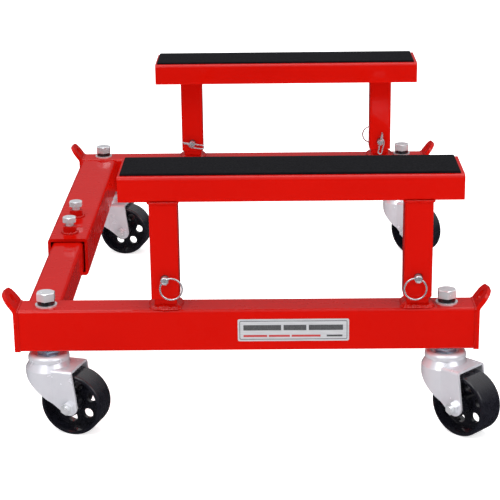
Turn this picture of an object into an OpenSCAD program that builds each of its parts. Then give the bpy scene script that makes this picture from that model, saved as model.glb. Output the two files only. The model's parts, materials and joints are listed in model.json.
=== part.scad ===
// Adjustable engine cradle on four swivel casters.
// X runs along the two long beams, Y across the cradle and Z up.
// The near side is at -Y and the far side at +Y; the cross member is at -X.

/* [Beams] */
// Length of each long beam over its end plates
beam_len = 532; // [480:1:620]
// Width of the beam tube
beam_w = 40; // [38:1:50]
// Height of the beam tube
beam_h = 50; // [44:1:60]
// Wall of the beam tube
beam_wall = 3; // [2:0.5:4]
// Overall width over both beams
overall_w = 717; // [640:1:800]

/* [End plates] */
// Thickness of the end plates
plate_t = 5; // [4:0.5:6]
// Outward lean of the tie-down eye in degrees
eye_lean = 36; // [20:1:45]
// Straight length of the eye above its bend
eye_len = 21; // [18:1:30]
// Diameter of the tie-down hole
eye_hole = 13; // [8:0.5:16]

/* [Cross member] */
// Outer width of the square sleeve
sleeve_w = 52; // [50:1:56]
// Wall of the sleeve
sleeve_wall = 4; // [3:0.5:4.5]
// Size of the inner square tube
inner_w = 40; // [36:1:40]
// Length of the inner tube
inner_len = 470; // [420:1:480]
// Gap between the sleeve mouth and the near beam
mouth_gap = 234; // [200:1:260]

/* [Supports] */
// Length of each top rail
rail_len = 387; // [340:1:400]
// Width of each top rail
rail_w = 86; // [60:1:90]
// Height of each top rail
rail_h = 30; // [26:1:36]
// Height of the rail's underside above the beam's underside
rail_lift = 176; // [150:1:220]
// Distance between the two posts of a support
post_pitch = 287; // [240:1:300]
// Shift of both supports along X from the middle of the beams
support_x = 52; // [30:1:54]
// Outer size of the square upper post
post_w = 32; // [30:1:34]
// Thickness of the rubber pad
pad_t = 3; // [2:0.5:6]

/* [Casters] */
// Height of the beam's underside above the floor
ride_h = 101; // [100:1:110]
// Wheel diameter
wheel_d = 74; // [72:1:76]
// Wheel width
wheel_w = 34; // [28:1:35]
// Distance from the swivel axis back to the axle
trail = 32; // [30:1:36]
// Distance from the middle of a beam out to the swivel axis
stem_x = 230; // [220:0.5:236]
// Swivel angles at rest: near left, near right, far left, far right
swivel_rest = [17, 44, 12, 46];

/* [Hidden] */
$fn = 48;

RED = "#d01205";
ZINC = "#c9ced6";
BLACK = "#17171a";
RUBBER = "#26262a";
BRONZE = "#a8793c";

NEAR = -1;
FAR = 1;
LEFT = -1;
RIGHT = 1;
SIDES = [LEFT, RIGHT];
// Where a curved face would only just touch a flat one, it stands this much proud, so that
// the two cut cleanly
skin = 0.02;

// Beams
beam_r = 4;
tube_len = beam_len - 2 * plate_t;
beam_y = (overall_w - beam_w) / 2;
beam_top = ride_h + beam_h;
stem_hole_r = 6.4;

// End plates
eye_bend_r = 6;
eye_start = beam_h - 4;
eye_corner_r = 15;
eye_root = 0.3;
eye_hole_up = eye_len - 13;

// Cross member: the sleeve is welded to the far beam, the inner tube to the near beam
cross_x = -beam_len / 2 + sleeve_w / 2 + 4;
beam_inner_y = beam_y - beam_w / 2;
mouth_y = -beam_inner_y + mouth_gap;
sleeve_r = 5;
inner_r = 5;
inner_wall = 3;
cross_z = ride_h + beam_h / 2;
nut_y = [mouth_y + 29, mouth_y + 103];
clamp_r = 5;
clamp_af = 16.5;
clamp_nut_h = 9.5;
clamp_gap = 5;
clamp_head_h = 7;
fit = 0.08;

// Supports
post_wall = 2.5;
post_r = 3;
stub_w = post_w - 2 * post_wall - 1;
stub_r = 2.5;
stub_h = 60;
post_start = 12;
post_x = [support_x - post_pitch / 2, support_x + post_pitch / 2];
rail_z = ride_h + rail_lift;
rail_wall = 3;
rail_r = 5;
rail_over = 1;
rail_y = beam_y + post_w / 2 + rail_over - rail_w / 2;
pad_inset = [2.5, 4.5];
pad_w = rail_w - 2 * 7;
pad_r = 3;
label_size = [127, 26.6];
label_up = 25.3;
label_t = 0.5;

// Locking pins
pin_r = 4.5;
pin_hole_r = 5;
pin_drop = 0.4;
near_pin_z = beam_top + 36;
far_pin_z = beam_top + 24.5;
pin_head = 8;
pin_tail = 8.5;
wire_r = 1;
ring_r = 12.6;
ring_hole_r = 1.7;
ring_out = 5.2;
ring_bow = (ring_r - sqrt(ring_r * ring_r - pin_r * pin_r)) / 2;
clip_hole_r = 1.3;
clip_out = 4.5;
// Direction of each clip's straight leg in the XZ plane, the side that its bow is on,
// and the quarter turn from the clip to the ring
pin_pose = [[-143.5, 1, 90], [-16, -1, -90], [-9, -1, -90], [-101, 1, -90]];

// Casters
stem_r = 6;
washer_t = 2;
washer_r = 12.7;
lock_t = 5;
lock_r = 10.2;
lock_gap = 1.6;
head_h = 9.5;
head_af = 20;
collar_h = 8.5;
collar_af = 24;
cup_r = 24;
cup_mid_r = 19;
cup_t = 1.8;
ball_r = 3;
ball_n = 16;
ball_z = -11.7;
crown_z = -14.8;
crown_r = 27.5;
crown_drop = 5;
race_r = 22.4;
skirt_z = -24;
fork_t = 2.8;
leg_half = 24;
crown_edge = 4.2;
fork_rear = 36.5;
king_nut_h = 7;
stem_end = -26.5;
axle_z = -ride_h + wheel_d / 2;
axle_r = 4;
axle_af = 13;
axle_nut_h = 6.3;
axle_head_h = 5.3;
tip_r = 10;
hub_r = 12;
hub_half = leg_half - fork_t - 0.6;
bush_r = 6;
web_half = 2.5;
web_hole_r = 6;
web_hole_n = 6;
web_pcd_r = 21;
// Angle of one web hole from the axle's level, seen from the near side
web_hole_turn = [-42, -45, -58, -50];
lip_r = 33;
recess_r = 30.5;
tread_r = 2.5;

// The origin is under the middle of the overall box, so the model is shifted by the
// middle of its reach along X and Y.
function wheel_reach(a, b) =
  (wheel_d / 2 - tread_r) * abs(a) + (wheel_w / 2 - tread_r) * abs(b) + tread_r;
eye_tip_x = beam_len / 2 + eye_bend_r - eye_bend_r * cos(eye_lean) + eye_len * sin(eye_lean);
right_reach = max([for (i = [1, 3])
  let (a = swivel_rest[i]) stem_x + trail * cos(a) + wheel_reach(cos(a), sin(a))]);
near_reach = max([for (i = [0, 1])
  let (a = swivel_rest[i]) beam_y + trail * sin(a) + wheel_reach(sin(a), cos(a))]);
far_reach = beam_y + post_w / 2 + pin_head;
centre = [(right_reach - eye_tip_x) / 2, (far_reach - near_reach) / 2, 0];

module place() {
  translate(-centre) children();
}

// Rounded rectangle about the origin, built from straight and round parts
module rounded_square(w, h, r) {
  square([w - 2 * r, h], center = true);
  square([w, h - 2 * r], center = true);
  for (x = [-1, 1], y = [-1, 1])
    translate([x * (w / 2 - r), y * (h / 2 - r)]) circle(r = r);
}

module box_section(w, h, wall, r) {
  difference() {
    rounded_square(w, h, r);
    rounded_square(w - 2 * wall, h - 2 * wall, max(r - wall, 0.6));
  }
}

// Tube along X, centred on the origin
module tube_x(length, w, h, wall, r) {
  rotate([90, 0, 90])
    linear_extrude(height = length, center = true) box_section(w, h, wall, r);
}

// Tube along Y from the origin
module tube_y(length, w, h, wall, r) {
  rotate([-90, 0, 0]) linear_extrude(height = length) box_section(w, h, wall, r);
}

// Hexagon prism with its across-flats size and both rims chamfered on request
module hex(af, h, top = true, bottom = false) {
  corner_r = af / 2 / cos(30);
  chamfer = 0.55 * (corner_r - af / 2);
  flat_r = 0.96 * af / 2;
  intersection() {
    rotate([0, 0, 30]) cylinder(r = corner_r, h = h, $fn = 6);
    union() {
      translate([0, 0, bottom ? chamfer : 0])
        cylinder(r = corner_r + 1, h = h - (top ? chamfer : 0) - (bottom ? chamfer : 0));
      if (top)
        translate([0, 0, h - chamfer]) cylinder(r1 = corner_r, r2 = flat_r, h = chamfer);
      if (bottom)
        cylinder(r1 = flat_r, r2 = corner_r, h = chamfer);
    }
  }
}

// ---- Beams and end plates ----

module beam(side) {
  color(RED) place() difference() {
    translate([0, side * beam_y, ride_h + beam_h / 2])
      tube_x(tube_len, beam_w, beam_h, beam_wall, beam_r);
    for (x = SIDES)
      translate([x * stem_x, side * beam_y, ride_h - 1]) cylinder(r = stem_hole_r, h = beam_h + 2);
  }
}

// Outline of the eye above its bend: a plate as wide as the beam with big round corners
module eye_outline() {
  half = beam_w / 2;
  arc = [half - eye_corner_r, eye_len - eye_corner_r];
  difference() {
    translate([-half, -eye_root]) square([2 * half, eye_len + eye_root]);
    for (m = [0, 1]) mirror([m, 0]) translate(arc) difference() {
      square(eye_corner_r + 1);
      circle(r = eye_corner_r);
    }
  }
}

// End plate in its own frame: the tube ends at x = 0 and the eye leans towards +X
module end_plate_shape() {
  bend_x = plate_t + eye_bend_r;
  translate([0, -beam_w / 2, 0]) cube([plate_t, beam_w, eye_start]);
  translate([bend_x, 0, eye_start]) rotate([90, 0, 0]) translate([0, 0, -beam_w / 2])
    rotate_extrude(angle = eye_lean, start = 180 - eye_lean)
      translate([eye_bend_r, 0]) square([plate_t, beam_w]);
  translate([bend_x, 0, eye_start]) rotate([0, eye_lean, 0]) translate([skin - bend_x, 0, 0])
    rotate([90, 0, 90]) linear_extrude(height = plate_t - 2 * skin) difference() {
      eye_outline();
      translate([0, eye_hole_up]) circle(r = eye_hole / 2);
    }
}

module end_plate(side, end) {
  color(RED) place()
    translate([end * tube_len / 2, side * beam_y, ride_h])
      mirror([end == LEFT ? 1 : 0, 0, 0]) end_plate_shape();
}

// ---- Cross member ----

module cross_sleeve() {
  color(RED) place() difference() {
    translate([cross_x, mouth_y, cross_z])
      tube_y(beam_inner_y - mouth_y, sleeve_w, beam_h, sleeve_wall, sleeve_r);
    for (y = nut_y)
      translate([cross_x, y, cross_z + beam_h / 4]) cylinder(r = clamp_r + 0.5, h = beam_h / 2);
  }
}

module sleeve_nuts() {
  color(RED) place() for (y = nut_y)
    translate([cross_x, y, beam_top]) difference() {
      hex(clamp_af, clamp_nut_h);
      translate([0, 0, -1]) cylinder(r = clamp_r + fit, h = clamp_nut_h + 2);
    }
}

module cross_inner_tube() {
  color(RED) place()
    translate([cross_x, -beam_inner_y, cross_z])
      tube_y(inner_len, inner_w, inner_w, inner_wall, inner_r);
}

module clamp_screw(y) {
  tip_z = cross_z + inner_w / 2 + 0.2;
  head_z = beam_top + clamp_nut_h + clamp_gap;
  color(ZINC) place() translate([cross_x, y, 0]) {
    translate([0, 0, tip_z]) cylinder(r = clamp_r, h = head_z - tip_z + 1);
    translate([0, 0, head_z]) hex(clamp_af, clamp_head_h);
  }
}

// ---- Supports ----

// Height of the locking pins on one side
function pin_z(side) = side == NEAR ? near_pin_z : far_pin_z;

// Cross hole for a locking pin through a post or stub at the given X and side
module pin_bore(x, side) {
  translate([x, side * beam_y, pin_z(side)]) rotate([90, 0, 0])
    cylinder(r = pin_hole_r, h = post_w + 10, center = true);
}

module stub_posts(side) {
  color(RED) place() for (x = post_x) difference() {
    translate([x, side * beam_y, beam_top])
      linear_extrude(height = stub_h) box_section(stub_w, stub_w, post_wall, stub_r);
    pin_bore(x, side);
  }
}

module support_posts(side) {
  color(RED) place() for (x = post_x) difference() {
    translate([x, side * beam_y, beam_top + post_start])
      linear_extrude(height = rail_z - beam_top - post_start)
        box_section(post_w, post_w, post_wall, post_r);
    pin_bore(x, side);
  }
}

module rail(side) {
  color(RED) place() translate([support_x, side * rail_y, rail_z + rail_h / 2])
    tube_x(rail_len, rail_w, rail_h, rail_wall, rail_r);
}

module pad(side) {
  length = rail_len - pad_inset[0] - pad_inset[1];
  shift = (pad_inset[0] - pad_inset[1]) / 2;
  color(RUBBER) place()
    translate([support_x + shift, side * rail_y, rail_z + rail_h])
      linear_extrude(height = pad_t) rounded_square(length, pad_w, pad_r);
}

module load_label() {
  color("#d5d8dc") place()
    translate([support_x + 2, -beam_y - beam_w / 2, ride_h + label_up])
      rotate([90, 0, 0])
        linear_extrude(height = label_t) rounded_square(label_size[0], label_size[1], 2);
}

// ---- Locking pins: local frame has Y outwards along the pin ----

// Moves a pin part to post number i: 0 near left, 1 near right, 2 far left, 3 far right
module at_pin(i) {
  side = i < 2 ? NEAR : FAR;
  place() translate([post_x[i % 2], side * beam_y, pin_z(side) - pin_drop]) children();
}

module locking_pin(i) {
  out = i < 2 ? NEAR : FAR;
  pose = pin_pose[i];
  span = post_w + pin_head + pin_tail;
  color(ZINC) at_pin(i) difference() {
    translate([0, out * (post_w / 2 + pin_head), 0]) rotate([out * 90, 0, 0]) {
      translate([0, 0, 1]) cylinder(r = pin_r, h = span - 2);
      cylinder(r1 = pin_r - 1, r2 = pin_r, h = 1);
      translate([0, 0, span - 1]) cylinder(r1 = pin_r, r2 = pin_r - 1, h = 1);
    }
    translate([0, out * (post_w / 2 + pin_head + skin), 0]) rotate([out * 90, 0, 0])
      cylinder(r1 = pin_r - 1.6, r2 = pin_r - 2.2, h = 0.6);
    translate([0, out * (post_w / 2 + ring_out), 0]) rotate([0, -pose[0], 0])
      rotate([0, 90, 0]) cylinder(r = ring_hole_r, h = 12, center = true);
    translate([0, -out * (post_w / 2 + clip_out), 0]) rotate([0, -pose[0], 0])
      rotate([0, 90, 0]) cylinder(r = clip_hole_r, h = 12, center = true);
  }
}

// Round wire bent on an arc in the XY plane
module wire_arc(centre_at, r, from, sweep) {
  translate([centre_at[0], centre_at[1], 0])
    rotate_extrude(angle = sweep, start = from) translate([r, 0]) circle(r = wire_r, $fn = 24);
}

module wire_line(a, b) {
  d = b - a;
  translate([a[0], a[1], 0]) rotate([0, 0, atan2(d[1], d[0])]) rotate([0, 90, 0])
    cylinder(r = wire_r, h = norm(d), $fn = 24);
}

// Hitch clip in the XY plane: its straight leg lies on X through the origin, and its
// other leg bows round the pin on the -Y side
module clip_shape() {
  hug_r = pin_r + wire_r + 0.3;
  coil_r = hug_r / 2;
  coil_x = 15.2;
  hug_to = 208;
  flare_r = 2.4;
  knee = (hug_r + flare_r) * [cos(hug_to), sin(hug_to)];
  flare_sweep = 62;
  flare_end = hug_to - 180 + flare_sweep;
  tail = knee + flare_r * [cos(flare_end), sin(flare_end)];
  wire_line([-15.5, 0], [coil_x, 0]);
  wire_arc([coil_x, -coil_r], coil_r, -90, 180);
  wire_line([0, -hug_r], [coil_x, -hug_r]);
  wire_arc([0, 0], hug_r, hug_to, 270 - hug_to);
  wire_arc(knee, flare_r, hug_to - 180, flare_sweep);
  wire_line(tail, tail + 5.5 * [-sin(flare_end), cos(flare_end)]);
}

module hitch_clip(i) {
  out = i < 2 ? NEAR : FAR;
  pose = pin_pose[i];
  color(ZINC) at_pin(i) translate([0, -out * (post_w / 2 + clip_out), 0])
    rotate([0, -pose[0], 0]) rotate([90, 0, 0]) scale_y(pose[1]) clip_shape();
}

module scale_y(sign) {
  mirror([0, sign < 0 ? 0 : 1, 0]) children();
}

module pull_ring(i) {
  out = i < 2 ? NEAR : FAR;
  pose = pin_pose[i];
  reach = ring_r - ring_bow;
  towards = pose[0] + pose[2];
  color(ZINC) at_pin(i)
    translate([reach * cos(towards), out * (post_w / 2 + ring_out), reach * sin(towards)])
      rotate([90, 0, 0]) rotate_extrude() translate([ring_r, 0]) circle(r = wire_r, $fn = 24);
}

// ---- Casters: local origin on the swivel axis at the beam's underside ----

module at_stem(side, end) {
  place() translate([end * stem_x, side * beam_y, ride_h]) children();
}

module caster_bolts(side) {
  head_z = beam_h + washer_t + lock_t;
  color(ZINC) for (end = SIDES) at_stem(side, end) {
    translate([0, 0, stem_end]) cylinder(r = stem_r, h = head_z - stem_end + 1);
    translate([0, 0, head_z]) hex(head_af, head_h);
    translate([0, 0, crown_z - fork_t - king_nut_h - 0.3]) hex(17, king_nut_h, true, true);
  }
}

module lock_washers(side) {
  color(BLACK) for (end = SIDES) at_stem(side, end)
    translate([0, 0, beam_h + washer_t]) difference() {
      cylinder(r = lock_r, h = lock_t);
      translate([0, 0, -1]) cylinder(r = stem_r + fit, h = lock_t + 2);
      rotate([0, 0, 140]) translate([0, -lock_gap / 2, -1]) cube([lock_r + 1, lock_gap, lock_t + 2]);
    }
}

module flat_washers(side) {
  color(ZINC) for (end = SIDES) at_stem(side, end)
    translate([0, 0, beam_h]) difference() {
      cylinder(r = washer_r, h = washer_t);
      translate([0, 0, -1]) cylinder(r = stem_r + fit, h = washer_t + 2);
    }
}

module stem_nuts(side) {
  color(ZINC) for (end = SIDES) at_stem(side, end)
    translate([0, 0, -collar_h]) difference() {
      hex(collar_af, collar_h, false, true);
      translate([0, 0, -1]) cylinder(r = stem_r + fit, h = collar_h + 2);
    }
}

// Pressed cup: an arched ring over the balls round a flat dish
module swivel_cups(side) {
  outer = cup_r - cup_mid_r;
  color(ZINC) for (end = SIDES) at_stem(side, end) rotate_extrude() {
    translate([cup_mid_r, ball_z]) intersection() {
      difference() {
        circle(r = outer);
        circle(r = outer - cup_t);
      }
      translate([-outer, 0]) square([2 * outer, outer]);
    }
    translate([cup_r - cup_t, crown_z + 0.6]) square([cup_t, ball_z - crown_z - 0.6]);
    translate([cup_mid_r - outer, crown_z + 1.2]) square([cup_t, ball_z - crown_z - 1.2]);
    translate([stem_r + fit, -collar_h - cup_t])
      square([cup_mid_r - outer + cup_t / 2 - stem_r - fit, cup_t]);
  }
}

module bearing_balls(side) {
  color(ZINC) for (end = SIDES) at_stem(side, end) for (k = [0 : ball_n - 1])
    rotate([0, 0, k * 360 / ball_n]) translate([cup_mid_r, 0, ball_z]) sphere(r = ball_r, $fn = 24);
}

// Moves a part to caster number i and turns it to its swivel angle; +X then trails
module at_caster(i) {
  at_stem(i < 2 ? NEAR : FAR, SIDES[i % 2]) rotate([0, 0, -swivel_rest[i]]) children();
}

// Half of the channel's cross-section, with a round upper edge
module crown_half(half, top, edge, depth) {
  translate([0, -depth]) square([half, depth + top - edge]);
  translate([0, top - edge]) square([half - edge, edge]);
  translate([half - edge, top - edge]) intersection() {
    circle(r = edge);
    square(edge);
  }
}

// Raised round seat with a sloping shoulder, and the lower straight channel, as one block
module crown_block(inset, length, depth) {
  top = crown_z - inset;
  rotate_extrude($fn = 96) polygon([[0, -depth], [crown_r - inset, -depth],
    [crown_r - inset, skirt_z - inset / 3], [race_r - inset / 2, top], [0, top]]);
  for (s = [0, 1]) mirror([0, s, 0]) rotate([90, 0, 90]) linear_extrude(height = length)
    crown_half(leg_half - inset, top - crown_drop, crown_edge - inset, depth);
}

// Tangent points of two circles, on the right of the way from the first to the second
function tangent(a, b) =
  let (d = b[0] - a[0], turn = atan2(d[1], d[0]) - acos((a[1] - b[1]) / norm(d)))
  [a[0] + a[1] * [cos(turn), sin(turn)], b[0] + b[1] * [cos(turn), sin(turn)]];

// Side view of the fork: crown, slanting front edge and round leg tips
module leg_outline() {
  top = crown_z + 1;
  discs = [
    [[-crown_r - 1, top], 0],
    [[-crown_r - 1, skirt_z], 0],
    [[-10, -25], 14],
    [[trail + 1, axle_z], tip_r],
    [[fork_rear, top], 0]
  ];
  polygon([for (i = [0 : 4]) let (next = discs[(i + 1) % 5], t = tangent(discs[i], next))
    each next[1] > 0 ? t : [t[0]]]);
  for (d = discs) if (d[1] > 0) translate(d[0]) circle(r = d[1] + skin, $fn = 96);
}

module fork_shape() {
  depth = -axle_z + tip_r + 2;
  length = fork_rear + 12;
  difference() {
    intersection() {
      difference() {
        crown_block(0, length, depth);
        crown_block(fork_t, length + 1, depth + 1);
      }
      rotate([90, 0, 0]) linear_extrude(height = 2 * crown_r + 4, center = true) leg_outline();
    }
    translate([0, 0, crown_z - fork_t - 1]) cylinder(r = stem_r + fit, h = fork_t + 2);
    translate([trail, 0, axle_z]) rotate([90, 0, 0])
      cylinder(r = axle_r + 0.1, h = 2 * leg_half + 4, center = true);
  }
}

module fork(i) {
  color(ZINC) at_caster(i) fork_shape();
}

module axle(i) {
  face = leg_half + 0.05;
  color(ZINC) at_caster(i) translate([trail, 0, axle_z]) rotate([-90, 0, 0]) {
    translate([0, 0, -face - axle_nut_h - 3]) cylinder(r = axle_r, h = 2 * face + axle_nut_h + 4);
    translate([0, 0, face]) hex(axle_af, axle_head_h);
    mirror([0, 0, 1]) translate([0, 0, face]) hex(axle_af, axle_nut_h);
  }
}

// Wheel profile in radius and width, for one half of its width
module wheel_half() {
  rim_r = wheel_d / 2;
  half = wheel_w / 2;
  difference() {
    union() {
      translate([recess_r, -skin]) square([rim_r - recess_r, half - tread_r + skin]);
      translate([recess_r, 0]) square([rim_r - tread_r - recess_r, half]);
      translate([rim_r - tread_r, half - tread_r]) circle(r = tread_r);
      translate([bush_r, -skin]) square([rim_r - bush_r - 1, web_half + skin]);
      translate([bush_r, -skin]) square([hub_r - bush_r, hub_half + skin]);
    }
    polygon([[recess_r - 1, half + 1], [lip_r, half + 1], [lip_r, half - 3],
      [recess_r, web_half + 1], [recess_r - 1, web_half + 1]]);
  }
}

module wheel(i) {
  color(BLACK) at_caster(i) translate([trail, 0, axle_z]) rotate([-90, 0, 0]) difference() {
    rotate_extrude($fn = 96) {
      wheel_half();
      mirror([0, 1]) wheel_half();
    }
    for (k = [0 : web_hole_n - 1]) rotate([0, 0, k * 360 / web_hole_n - web_hole_turn[i]])
      translate([web_pcd_r, 0, -web_half - 1]) cylinder(r = web_hole_r, h = 2 * web_half + 2);
  }
}

module bush(i) {
  color(BRONZE) at_caster(i) translate([trail, 0, axle_z]) rotate([90, 0, 0]) difference() {
    cylinder(r = bush_r - 0.02, h = 2 * hub_half + 0.2, center = true);
    cylinder(r = axle_r + fit, h = 2 * hub_half + 2, center = true);
  }
}

beam(NEAR);  // near_beam
end_plate(NEAR, LEFT);  // near_end_plate_left
end_plate(NEAR, RIGHT);  // near_end_plate_right
cross_inner_tube();
stub_posts(NEAR);  // near_stub_posts
support_posts(NEAR);  // near_support_posts
rail(NEAR);  // near_rail
pad(NEAR);  // near_pad
load_label();
caster_bolts(NEAR);  // near_caster_bolts
lock_washers(NEAR);  // near_lock_washers
flat_washers(NEAR);  // near_flat_washers
stem_nuts(NEAR);  // near_stem_nuts
swivel_cups(NEAR);  // near_swivel_cups
bearing_balls(NEAR);  // near_bearing_balls
beam(FAR);  // far_beam
end_plate(FAR, LEFT);  // far_end_plate_left
end_plate(FAR, RIGHT);  // far_end_plate_right
cross_sleeve();
sleeve_nuts();
stub_posts(FAR);  // far_stub_posts
support_posts(FAR);  // far_support_posts
rail(FAR);  // far_rail
pad(FAR);  // far_pad
caster_bolts(FAR);  // far_caster_bolts
lock_washers(FAR);  // far_lock_washers
flat_washers(FAR);  // far_flat_washers
stem_nuts(FAR);  // far_stem_nuts
swivel_cups(FAR);  // far_swivel_cups
bearing_balls(FAR);  // far_bearing_balls
clamp_screw(nut_y[0]);  // clamp_screw_front
clamp_screw(nut_y[1]);  // clamp_screw_rear
locking_pin(0);  // pin_near_left
locking_pin(1);  // pin_near_right
locking_pin(2);  // pin_far_left
locking_pin(3);  // pin_far_right
hitch_clip(0);  // clip_near_left
hitch_clip(1);  // clip_near_right
hitch_clip(2);  // clip_far_left
hitch_clip(3);  // clip_far_right
pull_ring(0);  // ring_near_left
pull_ring(1);  // ring_near_right
pull_ring(2);  // ring_far_left
pull_ring(3);  // ring_far_right
fork(0);  // fork_near_left
fork(1);  // fork_near_right
fork(2);  // fork_far_left
fork(3);  // fork_far_right
axle(0);  // axle_near_left
axle(1);  // axle_near_right
axle(2);  // axle_far_left
axle(3);  // axle_far_right
wheel(0);  // wheel_near_left
wheel(1);  // wheel_near_right
wheel(2);  // wheel_far_left
wheel(3);  // wheel_far_right
bush(0);  // bush_near_left
bush(1);  // bush_near_right
bush(2);  // bush_far_left
bush(3);  // bush_far_right
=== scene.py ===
import json
import math
import random

import bpy
from mathutils import Matrix, Vector


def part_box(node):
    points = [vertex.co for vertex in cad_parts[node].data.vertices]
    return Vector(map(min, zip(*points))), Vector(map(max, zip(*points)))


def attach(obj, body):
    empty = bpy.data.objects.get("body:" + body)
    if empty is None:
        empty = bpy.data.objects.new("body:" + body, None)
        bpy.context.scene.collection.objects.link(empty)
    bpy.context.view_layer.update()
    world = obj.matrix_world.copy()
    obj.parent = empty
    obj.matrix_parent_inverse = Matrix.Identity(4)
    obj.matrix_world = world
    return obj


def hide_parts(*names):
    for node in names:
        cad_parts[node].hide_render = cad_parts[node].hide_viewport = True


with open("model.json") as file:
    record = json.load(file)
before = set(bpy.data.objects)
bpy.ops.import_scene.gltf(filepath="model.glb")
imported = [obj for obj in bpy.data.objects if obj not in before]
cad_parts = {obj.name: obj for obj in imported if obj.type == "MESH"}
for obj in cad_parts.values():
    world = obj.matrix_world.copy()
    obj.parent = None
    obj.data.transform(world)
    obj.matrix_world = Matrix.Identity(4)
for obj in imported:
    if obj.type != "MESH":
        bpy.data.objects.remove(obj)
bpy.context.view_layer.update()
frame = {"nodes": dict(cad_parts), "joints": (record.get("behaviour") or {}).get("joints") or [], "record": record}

MM = 0.001
NODES = frame["nodes"]
JOINTS = {j["name"]: j for j in frame["joints"]}
SUBPARTS = {s["node"]: s["material_slot"] for s in frame["record"]["subparts"]}
SIDES = ("near", "far")
rng = random.Random(11)
PHASE_SPAN = 6.28  # radians that a bead's random start is drawn from


# ---------------------------------------------------------------- materials
class Shader:
    """A principled material with short calls for its procedural nodes."""

    def __init__(self, name):
        self.mat = bpy.data.materials.new(name)
        self.mat.use_nodes = True
        self.tree = self.mat.node_tree
        self.tree.nodes.clear()
        self.bsdf = self.tree.nodes.new("ShaderNodeBsdfPrincipled")
        out = self.tree.nodes.new("ShaderNodeOutputMaterial")
        self.tree.links.new(self.bsdf.outputs[0], out.inputs[0])
        coord = self.tree.nodes.new("ShaderNodeTexCoord")
        self.coord = coord.outputs["Object"]

    def socket(self, name, value):
        if isinstance(value, bpy.types.NodeSocket):
            self.tree.links.new(value, self.bsdf.inputs[name])
        else:
            self.bsdf.inputs[name].default_value = value

    def stretch(self, scale):
        node = self.tree.nodes.new("ShaderNodeMapping")
        node.inputs["Scale"].default_value = scale
        self.tree.links.new(self.coord, node.inputs["Vector"])
        return node.outputs[0]

    def noise(self, scale, detail=2.0, rough=0.5, vector=None):
        node = self.tree.nodes.new("ShaderNodeTexNoise")
        node.inputs["Scale"].default_value = scale
        node.inputs["Detail"].default_value = detail
        node.inputs["Roughness"].default_value = rough
        self.tree.links.new(vector or self.coord, node.inputs["Vector"])
        return node.outputs[0]

    def ramp(self, value, stops):
        node = self.tree.nodes.new("ShaderNodeValToRGB")
        elements = node.color_ramp.elements
        while len(elements) < len(stops):
            elements.new(0.5)
        for element, (at, colour) in zip(elements, stops):
            element.position = at
            element.color = (*colour, 1.0)
        self.tree.links.new(value, node.inputs[0])
        return node.outputs[0]

    def tones(self, value, dark, pale):
        """A colour that wanders between two tones as value goes over its usual range."""
        return self.ramp(value, [(0.3, dark), (0.7, pale)])

    def span(self, value, low, high, start=0.3, end=0.7):
        """A number from low to high as value goes from start to end."""
        node = self.tree.nodes.new("ShaderNodeMapRange")
        for name, number in (
            ("From Min", start),
            ("From Max", end),
            ("To Min", low),
            ("To Max", high),
        ):
            node.inputs[name].default_value = number
        self.tree.links.new(value, node.inputs["Value"])
        return node.outputs[0]

    def add(self, a, b, weight):
        """a plus weight times b."""
        node = self.tree.nodes.new("ShaderNodeMath")
        node.operation = "MULTIPLY_ADD"
        self.tree.links.new(b, node.inputs[0])
        node.inputs[1].default_value = weight
        self.tree.links.new(a, node.inputs[2])
        return node.outputs[0]

    def bump(self, height, strength, distance):
        node = self.tree.nodes.new("ShaderNodeBump")
        node.inputs["Strength"].default_value = strength
        node.inputs["Distance"].default_value = distance
        self.tree.links.new(height, node.inputs["Height"])
        self.tree.links.new(node.outputs[0], self.bsdf.inputs["Normal"])


def red_enamel():
    s = Shader("red_enamel")
    s.socket("Base Color", s.tones(s.noise(9, 3), (0.490, 0.0030, 0.0006), (0.515, 0.0036, 0.0008)))
    s.socket("Roughness", s.span(s.noise(40, 3), 0.24, 0.34))
    s.socket("Specular IOR Level", 0.02)
    s.socket("Coat Weight", 0.50)
    s.socket("Coat Roughness", 0.035)
    peel = s.add(s.noise(90, 2), s.noise(35, 2), 0.9)
    s.bump(peel, 0.02, 0.0004)
    return s.mat


def weld_enamel():
    s = Shader("weld_enamel")
    s.socket("Base Color", s.tones(s.noise(70, 3), (0.42, 0.0028, 0.0006), (0.50, 0.0036, 0.0008)))
    s.socket("Roughness", s.span(s.noise(160, 3), 0.24, 0.36))
    s.socket("Specular IOR Level", 0.02)
    s.socket("Coat Weight", 0.60)
    s.socket("Coat Roughness", 0.08)
    s.bump(s.noise(320, 3), 0.18, 0.0006)
    return s.mat


def zinc_plate():
    s = Shader("zinc_plate")
    spangle = [(0.28, (0.80, 0.82, 0.86)), (0.55, (0.86, 0.88, 0.91)), (0.78, (0.90, 0.91, 0.94))]
    s.socket("Base Color", s.ramp(s.noise(110, 3, 0.5), spangle))
    s.socket("Metallic", 0.55)
    s.socket("Roughness", s.span(s.noise(160, 3), 0.16, 0.28))
    s.bump(s.noise(160, 3), 0.05, 0.0003)
    return s.mat


def milky_zinc():
    s = Shader("milky_zinc")
    cloud = s.add(s.noise(28, 3), s.noise(130, 3), 0.5)
    milk = [(0.35, (0.70, 0.70, 0.765)), (0.6, (0.735, 0.735, 0.79)), (0.9, (0.77, 0.77, 0.82))]
    s.socket("Base Color", s.ramp(cloud, milk))
    s.socket("Metallic", 0.34)
    s.socket("Roughness", s.span(s.noise(90, 3), 0.20, 0.28))
    s.socket("Coat Weight", 0.7)
    s.socket("Coat Roughness", 0.08)
    s.bump(s.noise(60, 3), 0.03, 0.0003)
    return s.mat


def blue_zinc():
    s = Shader("blue_zinc")
    s.socket("Base Color", s.tones(s.noise(70, 3), (0.34, 0.50, 0.66), (0.52, 0.68, 0.80)))
    s.socket("Metallic", 0.75)
    s.socket("Roughness", s.span(s.noise(160, 3), 0.10, 0.20))
    s.bump(s.noise(140, 2), 0.04, 0.0003)
    return s.mat


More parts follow.
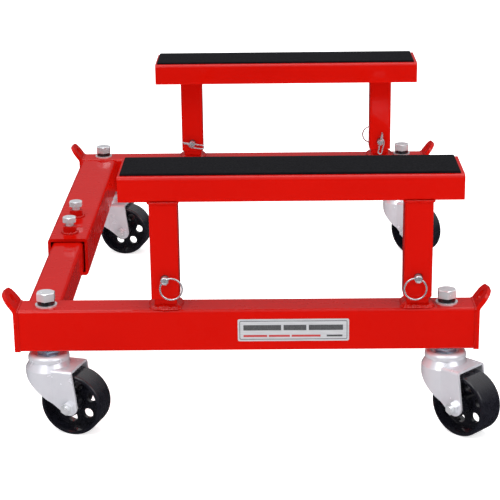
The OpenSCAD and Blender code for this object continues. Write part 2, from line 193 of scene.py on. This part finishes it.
def bright_zinc():
    s = Shader("bright_zinc")
    s.socket("Base Color", s.tones(s.noise(200, 3), (0.60, 0.62, 0.66), (0.78, 0.79, 0.82)))
    s.socket("Metallic", 0.75)
    s.socket("Roughness", s.span(s.noise(300, 3), 0.14, 0.26))
    s.bump(s.noise(500, 2), 0.05, 0.0002)
    return s.mat


def bearing_steel():
    s = Shader("bearing_steel")
    s.socket("Base Color", s.tones(s.noise(150), (0.66, 0.68, 0.70), (0.74, 0.75, 0.77)))
    s.socket("Metallic", 1.0)
    s.socket("Roughness", s.span(s.noise(400), 0.07, 0.16, 0.0, 1.0))
    s.bump(s.noise(900), 0.03, 0.0001)
    return s.mat


def black_oxide():
    s = Shader("black_oxide")
    s.socket("Base Color", s.tones(s.noise(160, 3), (0.008, 0.008, 0.010), (0.02, 0.021, 0.024)))
    s.socket("Roughness", s.span(s.noise(300, 3), 0.14, 0.30))
    s.socket("Specular IOR Level", 0.12)
    s.socket("Coat Weight", 0.8)
    s.socket("Coat Roughness", 0.08)
    s.bump(s.noise(800, 2), 0.10, 0.0003)
    return s.mat


def rubber_pad():
    s = Shader("rubber_pad")
    grain = s.noise(1, 4, 0.6, s.stretch((70, 900, 900)))
    s.socket("Base Color", s.tones(grain, (0.0045, 0.0045, 0.0055), (0.0095, 0.0095, 0.0115)))
    s.socket("Roughness", s.span(s.noise(400, 3), 0.52, 0.78))
    s.socket("Specular IOR Level", 0.04)
    s.bump(s.add(grain, s.noise(900, 3), 0.5), 0.5, 0.0004)
    return s.mat


def wheel_black():
    s = Shader("wheel_black")
    paint = s.tones(s.noise(120, 4), (0.0060, 0.0060, 0.0095), (0.0105, 0.0105, 0.0155))
    s.socket("Base Color", paint)
    s.socket("Roughness", s.span(s.noise(120, 4), 0.20, 0.34))
    s.socket("Specular IOR Level", 0.12)
    s.socket("Coat Weight", 0.85)
    s.socket("Coat Roughness", 0.05)
    s.bump(s.add(s.noise(300, 3), s.noise(90, 3), 0.7), 0.03, 0.0004)
    return s.mat


def bush_bronze():
    s = Shader("bush_bronze")
    s.socket("Base Color", s.tones(s.noise(300, 3), (0.34, 0.19, 0.07), (0.47, 0.28, 0.11)))
    s.socket("Metallic", 1.0)
    s.socket("Roughness", s.span(s.noise(500, 3), 0.28, 0.45, 0.0, 1.0))
    s.bump(s.noise(900, 3), 0.15, 0.0003)
    return s.mat


def label_foil():
    s = Shader("label_foil")
    brushed = s.noise(1, 3, 0.6, s.stretch((60, 900, 1800)))
    s.socket("Base Color", s.tones(brushed, (0.52, 0.53, 0.55), (0.66, 0.67, 0.69)))
    s.socket("Metallic", 0.25)
    s.socket("Roughness", s.span(brushed, 0.30, 0.45))
    s.bump(brushed, 0.08, 0.0001)
    return s.mat


def printed(name, dark, pale):
    """A flat printing ink between two tones."""
    s = Shader(name)
    s.socket("Base Color", s.tones(s.noise(900, 2), dark, pale))
    s.socket("Roughness", s.span(s.noise(500), 0.4, 0.6, 0.0, 1.0))
    s.bump(s.noise(1200), 0.05, 0.0001)
    return s.mat


def label_ink():
    return printed("label_ink", (0.05, 0.052, 0.056), (0.09, 0.092, 0.097))


def label_red():
    return printed("label_red", (0.42, 0.03, 0.03), (0.52, 0.04, 0.04))


MATERIALS = {
    make.__name__: make()
    for make in (
        red_enamel,
        weld_enamel,
        zinc_plate,
        milky_zinc,
        blue_zinc,
        bright_zinc,
        bearing_steel,
        black_oxide,
        rubber_pad,
        wheel_black,
        bush_bronze,
        label_foil,
        label_ink,
        label_red,
    )
}

# The pressed forks and cups have a milkier plating than the bolts, and the stem nuts a bluer one
for node, obj in NODES.items():
    look = SUBPARTS[node]
    if node.startswith("fork_") or node.endswith("_cups"):
        look = "milky_zinc"
    elif node.endswith("_stem_nuts"):
        look = "blue_zinc"
    obj.data.materials.clear()
    obj.data.materials.append(MATERIALS[look])


# ---------------------------------------------------------------- mesh helpers
def show(obj):
    bpy.context.scene.collection.objects.link(obj)
    return obj


def piece(name, verts, faces, look, body, smooth=True):
    """A new mesh piece in the row frame, with its material, slot and body."""
    mesh = bpy.data.meshes.new(name)
    mesh.from_pydata([tuple(v) for v in verts], [], faces)
    mesh.validate()
    mesh.update()
    if smooth:
        for polygon in mesh.polygons:
            polygon.use_smooth = True
    obj = show(bpy.data.objects.new(name, mesh))
    mesh.materials.append(MATERIALS[look])
    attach(obj, body)
    return obj


def frames_along(points, closed):
    """A side and an up vector, square to the path, at each of its points."""
    n = len(points)
    out = []
    up = None
    for i in range(n):
        a = points[(i - 1) % n] if closed or i > 0 else points[i]
        b = points[(i + 1) % n] if closed or i < n - 1 else points[i]
        t = (b - a).normalized()
        if up is None:
            up = Vector((0, 0, 1)) if abs(t.z) < 0.9 else Vector((1, 0, 0))
        side = t.cross(up).normalized()
        up = side.cross(t).normalized()
        out.append((side, up))
    return out


def tube(points, radii, closed, sides):
    """Vertices and faces of a round tube along points, with a radius for each point."""
    n = len(points)
    verts, faces = [], []
    for p, (side, up), r in zip(points, frames_along(points, closed), radii):
        for k in range(sides):
            a = 2 * math.pi * k / sides
            verts.append(p + side * (r * math.cos(a)) + up * (r * math.sin(a)))
    rings = n if closed else n - 1
    for i in range(rings):
        j = (i + 1) % n
        for k in range(sides):
            m = (k + 1) % sides
            faces.append((i * sides + k, i * sides + m, j * sides + m, j * sides + k))
    if not closed:
        faces.append(tuple(range(sides)))
        faces.append(tuple((n - 1) * sides + k for k in reversed(range(sides))))
    return verts, faces


# ---------------------------------------------------------------- weld beads
BEAD_STEP = 0.9 * MM
BEAD_SIDES = 14
PLATE_BEAD = 1.6 * MM
RAIL_BEAD = 1.7 * MM
NUT_BEAD = 2.3 * MM
CROSS_BEAD = 2.4 * MM
NUT_BEAD_RING = 9.6 * MM
FILLET_WIDTH = 6.6 * MM
FILLET_HEIGHT = 5.2 * MM
POST_CORNER = 2.5 * MM


def rounded_path(corners, step, soften):
    """Points about step apart round a closed path, with its corners rounded by soften."""
    pts = []
    for i, a in enumerate(corners):
        b = corners[(i + 1) % len(corners)]
        count = max(2, int((b - a).length / step))
        pts += [a.lerp(b, k / count) for k in range(count)]
    passes = 2 * (int(soften / step) + 1) if soften > 0 else 0
    n = len(pts)
    for _ in range(passes):
        pts = [(pts[i - 1] + pts[i] * 2 + pts[(i + 1) % n]) / 4 for i in range(n)]
    return pts


def weld(name, corners, r, body, soften=0.003, ripple=0.16, pitch=3.4 * MM, lump=0.10):
    """A rippled weld bead round a closed path, painted over with the enamel. Its width wanders
    with two long waves that never line up."""
    pts = rounded_path(corners, BEAD_STEP, soften)
    phase = rng.random() * PHASE_SPAN
    radii = []
    travelled = 0.0
    for i, p in enumerate(pts):
        if i:
            travelled += (p - pts[i - 1]).length
        wave = 0.5 + 0.5 * math.cos(2 * math.pi * travelled / pitch + phase)
        slow = math.sin(travelled * 190 + phase) + 0.6 * math.sin(travelled * 431 + 2 * phase)
        radii.append(r * (1 - ripple * (1 - wave) ** 2 + lump * slow * 0.5))
    verts, faces = tube(pts, radii, True, BEAD_SIDES)
    piece(name, verts, faces, "weld_enamel", body)


def rectangle(a_lo, a_hi, b_lo, b_hi, inset):
    """The corners of a rectangle, each side drawn in by inset, in order round it."""
    a0, a1, b0, b1 = a_lo + inset, a_hi - inset, b_lo + inset, b_hi - inset
    return ((a0, b0), (a1, b0), (a1, b1), (a0, b1))


def round_a_square(half, arc_steps=14, side_steps=24):
    """Pairs of a point and an outward normal round a square post. The points lie on the square
    through the centres of its rounded corners."""
    inset = half - POST_CORNER
    around = []
    for sx, sy, start in ((1, -1, -90), (1, 1, 0), (-1, 1, 90), (-1, -1, 180)):
        x, y = sx * inset, sy * inset
        for k in range(arc_steps + 1):
            a = math.radians(start + 90 * k / arc_steps)
            around.append(((x, y), (math.cos(a), math.sin(a))))
        a = math.radians(start + 90)
        nx, ny = math.cos(a), math.sin(a)
        for k in range(1, side_steps):
            run = 2 * inset * k / side_steps
            around.append(((x - ny * run, y + nx * run), (nx, ny)))
    return around


def fillet(name, foot, half, body):
    """A broad rippled fillet weld round the foot of a square post."""
    around = round_a_square(half)
    verts, faces = [], []
    rows = 9
    phase = rng.random() * PHASE_SPAN
    n = len(around)
    for i, ((cx, cy), (nx, ny)) in enumerate(around):
        turn = 2 * math.pi * i / n
        lump = 1 + 0.10 * math.sin(3 * turn + phase) + 0.07 * math.sin(7 * turn + 2 * phase)
        ripple = 1 + 0.05 * math.cos(26 * turn + phase)
        for k in range(rows):
            u = k / (rows - 1)
            out = FILLET_WIDTH * lump * ripple * math.sin(u * math.pi / 2) ** 0.9
            out += POST_CORNER - 0.3 * MM
            up = FILLET_HEIGHT * lump * (1 - u) ** 1.15 * ripple if k < rows - 1 else -0.15 * MM
            verts.append(foot + Vector((cx + nx * out, cy + ny * out, up)))
    for i in range(n):
        j = (i + 1) % n
        for k in range(rows - 1):
            faces.append((i * rows + k, i * rows + k + 1, j * rows + k + 1, j * rows + k))
    piece(name, verts, faces, "weld_enamel", body)


def support_welds(side):
    """A fillet round each stub post's foot and a bead under the rail round each upper post."""
    body = side + "_frame"
    lo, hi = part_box(side + "_stub_posts")
    post_lo, post_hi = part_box(side + "_support_posts")
    stub_half, post_half = (hi.y - lo.y) / 2, (post_hi.y - post_lo.y) / 2
    y = (lo.y + hi.y) / 2
    beam_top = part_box(side + "_beam")[1].z
    bead_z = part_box(side + "_rail")[0].z - 0.4 * MM
    half = post_half + 0.3 * MM
    for end, x in (("left", lo.x + stub_half), ("right", hi.x - stub_half)):
        fillet(f"weld_stub_{side}_{end}", Vector((x, y, beam_top)), stub_half, body)
        outline = rectangle(x - half, x + half, y - half, y + half, 0)
        corners = [Vector((a, b, bead_z)) for a, b in outline]
        weld(f"weld_rail_{side}_{end}", corners, RAIL_BEAD, body)


def cross_member_welds():
    """The bead where the sleeve meets the far beam, and the inner tube the near beam."""
    lo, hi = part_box("cross_sleeve")
    outline = rectangle(lo.x, hi.x, lo.z, hi.z, 0.6 * MM)
    corners = [Vector((x, hi.y - 0.5 * MM, z)) for x, z in outline]
    weld("weld_sleeve", corners, CROSS_BEAD, "far_frame", soften=0.005)
    lo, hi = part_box("cross_inner_tube")
    outline = rectangle(lo.x, hi.x, lo.z, hi.z, 0.4 * MM)
    corners = [Vector((x, lo.y + 0.5 * MM, z)) for x, z in outline]
    weld("weld_inner_tube", corners, CROSS_BEAD, "near_frame", soften=0.005)


def end_plate_welds(side):
    """The seam between each end plate and its beam."""
    lo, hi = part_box(side + "_beam")
    outline = rectangle(lo.y, hi.y, lo.z, hi.z, 0.5 * MM)
    for end, x in (("left", lo.x), ("right", hi.x)):
        seam = [Vector((x, y, z)) for y, z in outline]
        name = f"weld_plate_{side}_{end}"
        weld(name, seam, PLATE_BEAD, side + "_frame", soften=0.004, ripple=0.10)


def nut_weld(which):
    """The bead round the foot of a clamp screw's nut."""
    centre = Vector(JOINTS[f"clamp_{which}_turn"]["pos_m"]) + Vector((0, 0, 0.3 * MM))
    count = 40
    ring = []
    for k in range(count):
        a = 2 * math.pi * k / count
        ring.append(centre + Vector((math.cos(a), math.sin(a), 0)) * NUT_BEAD_RING)
    name = f"weld_nut_{which}"
    weld(name, ring, NUT_BEAD, "far_frame", soften=0, ripple=0.25, pitch=4.2 * MM, lump=0.22)


for side in SIDES:
    support_welds(side)
cross_member_welds()
for side in SIDES:
    end_plate_welds(side)
for which in ("front", "rear"):
    nut_weld(which)


# ---------------------------------------------------------------- threads
SCREW_HEAD = 7 * MM
THREAD_R = 4.75 * MM
THREAD_PITCH = 1.5 * MM
THREAD_RIDGE = 0.33 * THREAD_PITCH
THREAD_STEPS = 28  # points in one turn
THREAD_FADE = 10  # points over which each end of the ridge tapers


def thread(which):
    """The helical ridge on a clamp screw's shank, between its nut and its head."""
    lo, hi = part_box(f"clamp_screw_{which}")
    nut_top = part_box("sleeve_nuts")[1].z
    x, y = (lo.x + hi.x) / 2, (lo.y + hi.y) / 2
    length = hi.z - SCREW_HEAD - nut_top - 0.2 * MM
    turns = length / THREAD_PITCH
    steps = int(turns * THREAD_STEPS)
    start = Vector((x, y, nut_top + 0.1 * MM))
    u = Vector((0, 0, 1)).orthogonal().normalized()
    v = Vector((0, 0, 1)).cross(u)
    pts = []
    for i in range(steps + 1):
        a = 2 * math.pi * turns * i / steps
        rise = Vector((0, 0, length * i / steps))
        pts.append(start + rise + (u * math.cos(a) + v * math.sin(a)) * THREAD_R)
    n = len(pts)
    taper = [min(1.0, (i + 1) / THREAD_FADE, (n - i) / THREAD_FADE) for i in range(n)]
    verts, faces = tube(pts, [THREAD_RIDGE * t for t in taper], False, 6)
    piece(f"thread_clamp_{which}", verts, faces, "zinc_plate", f"clamp_{which}")


for which in ("front", "rear"):
    thread(which)


# ---------------------------------------------------------------- rubber pads
PAD_EDGE = 1.2 * MM
PAD_EDGE_STEPS = 4
PAD_RIBS = 18
PAD_GROOVE = 0.35 * MM
PAD_MARGIN = 1.0 * MM
PAD_STATIONS = 24


def pad_section(half_y, h):
    """The pad's section: rounded top edges, and shallow grooves across its top."""
    section = [(-half_y, 0.0), (-half_y, h - PAD_EDGE)]
    for k in range(1, PAD_EDGE_STEPS + 1):
        a = math.pi / 2 * k / PAD_EDGE_STEPS
        y = -half_y + PAD_EDGE - PAD_EDGE * math.cos(a)
        section.append((y, h - PAD_EDGE + PAD_EDGE * math.sin(a)))
    inner = half_y - PAD_EDGE - PAD_MARGIN
    pitch = 2 * inner / PAD_RIBS
    groove = ((0.04, h), (0.14, h - PAD_GROOVE), (0.26, h - PAD_GROOVE), (0.36, h))
    for k in range(PAD_RIBS):
        section += [(-inner + (k + u) * pitch, z) for u, z in groove]
    for k in range(PAD_EDGE_STEPS + 1):
        a = math.pi / 2 * (1 - k / PAD_EDGE_STEPS)
        y = half_y - PAD_EDGE + PAD_EDGE * math.cos(a)
        section.append((y, h - PAD_EDGE + PAD_EDGE * math.sin(a)))
    section.append((half_y, 0.0))
    return section


def pad_stations(half_x):
    """Places along the pad, each with how full its section is there: 0 at an end, then 1."""
    ends = ((0.0, 0.0), (0.3 * MM, 0.5), (PAD_EDGE, 1.0))
    stations = [(-half_x + x, full) for x, full in ends]
    for k in range(1, PAD_STATIONS):
        stations.append((-half_x + 2 * half_x * k / PAD_STATIONS, 1.0))
    return stations + [(half_x - x, full) for x, full in reversed(ends)]


def rubber(side):
    """A ribbed rubber strip with rounded edges in place of the plain pad."""
    node = f"{side}_pad"
    lo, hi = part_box(node)
    c = (lo + hi) / 2
    h = hi.z - lo.z
    section = pad_section((hi.y - lo.y) / 2, h)
    stations = pad_stations((hi.x - lo.x) / 2)
    n = len(section)
    verts, faces = [], []
    for x, full in stations:
        drop = PAD_EDGE * (1 - full) * 0.9
        for y, z in section:
            verts.append(Vector((c.x + x, c.y + y, lo.z + max(0.0, z - drop if z > h / 2 else z))))
    for i in range(len(stations) - 1):
        for k in range(n):
            m = (k + 1) % n
            faces.append((i * n + k, (i + 1) * n + k, (i + 1) * n + m, i * n + m))
    faces.append(tuple(range(n)))
    faces.append(tuple((len(stations) - 1) * n + k for k in reversed(range(n))))
    name = f"rubber_{node}"
    pad = piece(name, verts, faces, "rubber_pad", f"{side}_frame", smooth=False)
    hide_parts(node)


for side in SIDES:
    rubber(side)


# ---------------------------------------------------------------- label print
LABEL_LO, LABEL_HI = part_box("load_label")
LABEL_X = (LABEL_LO.x + LABEL_HI.x) / 2
LABEL_Z = (LABEL_LO.z + LABEL_HI.z) / 2
PRINT_FRONT = LABEL_LO.y - 0.12 * MM
PRINT_BACK = LABEL_LO.y + 0.05 * MM
BORDER_INSET = 2.0 * MM
BORDER_WIDTH = 0.7 * MM


def rounded_loop(half_x, half_z, r, steps=8):
    """Points round the label's middle, on a rectangle with rounded corners."""
    out = []
    for sx, sz, start in ((1, 1, 0), (-1, 1, 90), (-1, -1, 180), (1, -1, 270)):
        for k in range(steps + 1):
            a = math.radians(start + 90 * k / steps)
            x = LABEL_X + sx * (half_x - r) + r * math.cos(a)
            z = LABEL_Z + sz * (half_z - r) + r * math.sin(a)
            out.append((x, z))
    return out


def label_border():
    """A thin printed line round the label."""
    half_x = (LABEL_HI.x - LABEL_LO.x) / 2 - BORDER_INSET
    half_z = (LABEL_HI.z - LABEL_LO.z) / 2 - BORDER_INSET
    outer = rounded_loop(half_x, half_z, 1.8 * MM)
    inner = rounded_loop(half_x - BORDER_WIDTH, half_z - BORDER_WIDTH, 1.3 * MM)
    n = len(outer)
    verts = [Vector((x, y, z)) for y in (PRINT_FRONT, PRINT_BACK) for x, z in outer + inner]
    faces = []
    for k in range(n):
        m = (k + 1) % n
        faces.append((k, m, n + m, n + k))
        faces.append((2 * n + k, 3 * n + k, 3 * n + m, 2 * n + m))
        faces.append((k, 2 * n + k, 2 * n + m, m))
        faces.append((n + k, n + m, 3 * n + m, 3 * n + k))
    piece("label_border", verts, faces, "label_ink", "near_frame", smooth=False)


BAR_FACES = ((0, 1, 2, 3), (4, 7, 6, 5), (0, 4, 5, 1), (1, 5, 6, 2), (2, 6, 7, 3), (3, 7, 4, 0))


def bars(name, look, rows):
    """Plain printed bars. Each row has its height from the label's middle, the bars'
    thickness, where the first one starts, their widths and the gap between them, in mm."""
    verts, faces = [], []
    for z, tall, x, widths, gap in rows:
        for width in widths:
            base = len(verts)
            for y in (PRINT_FRONT, PRINT_BACK):
                for bx, dz in ((x, -1), (x + width, -1), (x + width, 1), (x, 1)):
                    corner = (LABEL_X + bx * MM, y, LABEL_Z + (z + dz * tall / 2) * MM)
                    verts.append(Vector(corner))
            faces += [tuple(base + k for k in quad) for quad in BAR_FACES]
            x += width + gap
    piece(name, verts, faces, look, "near_frame", smooth=False)


label_border()
bars(
    "label_print",
    "label_ink",
    [(3.0, 6.4, -57.0, (43, 26, 39), 2.8), (-7.0, 2.2, 38.0, (18,), 0)],
)
bars("label_mark", "label_red", [(-7.0, 2.4, -57.0, (27, 24, 33), 2.0)])


# ---------------------------------------------------------------- stage
FLOOR = 14.0  # half the floor's side, in metres
PAPER = ((0.93, 0.93, 0.935), (0.95, 0.95, 0.955))
SKY_STRENGTH = 0.74
# Grey of the sky by height: 0 straight down, 0.5 at the horizon, 1 straight up
SKY = [
    (0.0, (0.02, 0.02, 0.022)),
    (0.50, (0.05, 0.05, 0.055)),
    (0.56, (0.22, 0.22, 0.23)),
    (0.68, (0.42, 0.42, 0.44)),
    (0.82, (1.15, 1.15, 1.17)),
    (1.0, (1.3, 1.3, 1.3)),
]


def lay_floor():
    """A pale sheet of paper that glows a little, so that it stays clear of shadows."""
    mesh = bpy.data.meshes.new("floor")
    corners = [(-FLOOR, -FLOOR, 0), (FLOOR, -FLOOR, 0), (FLOOR, FLOOR, 0), (-FLOOR, FLOOR, 0)]
    mesh.from_pydata(corners, [], [(0, 1, 2, 3)])
    floor = show(bpy.data.objects.new("floor", mesh))
    paper = Shader("studio_paper")
    paper.socket("Base Color", paper.tones(paper.noise(3, 2), *PAPER))
    paper.socket("Roughness", 0.9)
    paper.socket("Specular IOR Level", 0.1)
    paper.socket("Emission Color", (1.0, 1.0, 1.0, 1.0))
    paper.socket("Emission Strength", 0.65)
    mesh.materials.append(paper.mat)
    floor.visible_glossy = False


def light_sky():
    """A studio sky, dark below the horizon and bright above."""
    world = bpy.data.worlds.new("studio")
    bpy.context.scene.world = world
    world.use_nodes = True
    tree = world.node_tree
    tree.nodes.clear()
    coord = tree.nodes.new("ShaderNodeTexCoord")
    split = tree.nodes.new("ShaderNodeSeparateXYZ")
    tree.links.new(coord.outputs["Generated"], split.inputs[0])
    height = tree.nodes.new("ShaderNodeMapRange")
    height.inputs["From Min"].default_value = -1.0
    tree.links.new(split.outputs["Z"], height.inputs["Value"])
    ramp = tree.nodes.new("ShaderNodeValToRGB")
    tree.links.new(height.outputs[0], ramp.inputs[0])
    while len(ramp.color_ramp.elements) < len(SKY):
        ramp.color_ramp.elements.new(0.5)
    for element, (at, colour) in zip(ramp.color_ramp.elements, SKY):
        element.position = at
        element.color = (*colour, 1)
    background = tree.nodes.new("ShaderNodeBackground")
    background.inputs["Strength"].default_value = SKY_STRENGTH
    tree.links.new(ramp.outputs[0], background.inputs[0])
    out = tree.nodes.new("ShaderNodeOutputWorld")
    tree.links.new(background.outputs[0], out.inputs[0])


def softbox(name, at, size, power):
    """A rectangular area light that faces the middle of the cradle."""
    data = bpy.data.lights.new(name, "AREA")
    data.shape = "RECTANGLE"
    data.size, data.size_y = size
    data.energy = power
    obj = show(bpy.data.objects.new(name, data))
    obj.location = at
    facing = Vector((0, 0, 0.1)) - Vector(at)
    obj.rotation_euler = facing.to_track_quat("-Z", "Y").to_euler()


lay_floor()
light_sky()
softbox("key", (-1.3, -2.2, 2.4), (1.8, 1.4), 28)
softbox("fill", (1.9, -1.9, 1.6), (1.8, 1.4), 16)
softbox("top", (0, 0.4, 2.8), (2.6, 2.6), 35)


# ---------------------------------------------------------------- camera
# The view is fixed to the beams: the camera stands in front of the near beam, a little to
# the open side of the middle, and above the beams' underside.
EYE_X, EYE_Y, EYE_LIFT = 0.0342, -2.0958, 0.683
YAW, PITCH, ROLL = math.radians(-0.94), math.radians(17.91), math.radians(-0.75)
LENS = 117.03


def place_camera():
    near_lo, near_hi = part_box("near_beam")
    far_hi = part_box("far_beam")[1]
    middle = Vector(((near_lo.x + near_hi.x) / 2, (near_lo.y + far_hi.y) / 2, 0))
    level = math.cos(PITCH)
    forward = Vector((math.sin(YAW) * level, math.cos(YAW) * level, -math.sin(PITCH)))
    right = Vector((math.cos(YAW), -math.sin(YAW), 0))
    up = right.cross(forward)
    across = right * math.cos(ROLL) + up * math.sin(ROLL)
    upward = up * math.cos(ROLL) - right * math.sin(ROLL)
    turned = Matrix((across, upward, -forward)).transposed().to_4x4()
    turned.translation = middle + Vector((EYE_X, EYE_Y, near_lo.z + EYE_LIFT))
    data = bpy.data.cameras.new("camera")
    data.sensor_width = 36
    data.lens = LENS
    data.clip_end = 100
    camera = show(bpy.data.objects.new("camera", data))
    camera.matrix_world = turned
    bpy.context.scene.camera = camera


place_camera()
bpy.context.scene.view_settings.view_transform = "Standard"
bpy.context.scene.view_settings.look = "None"
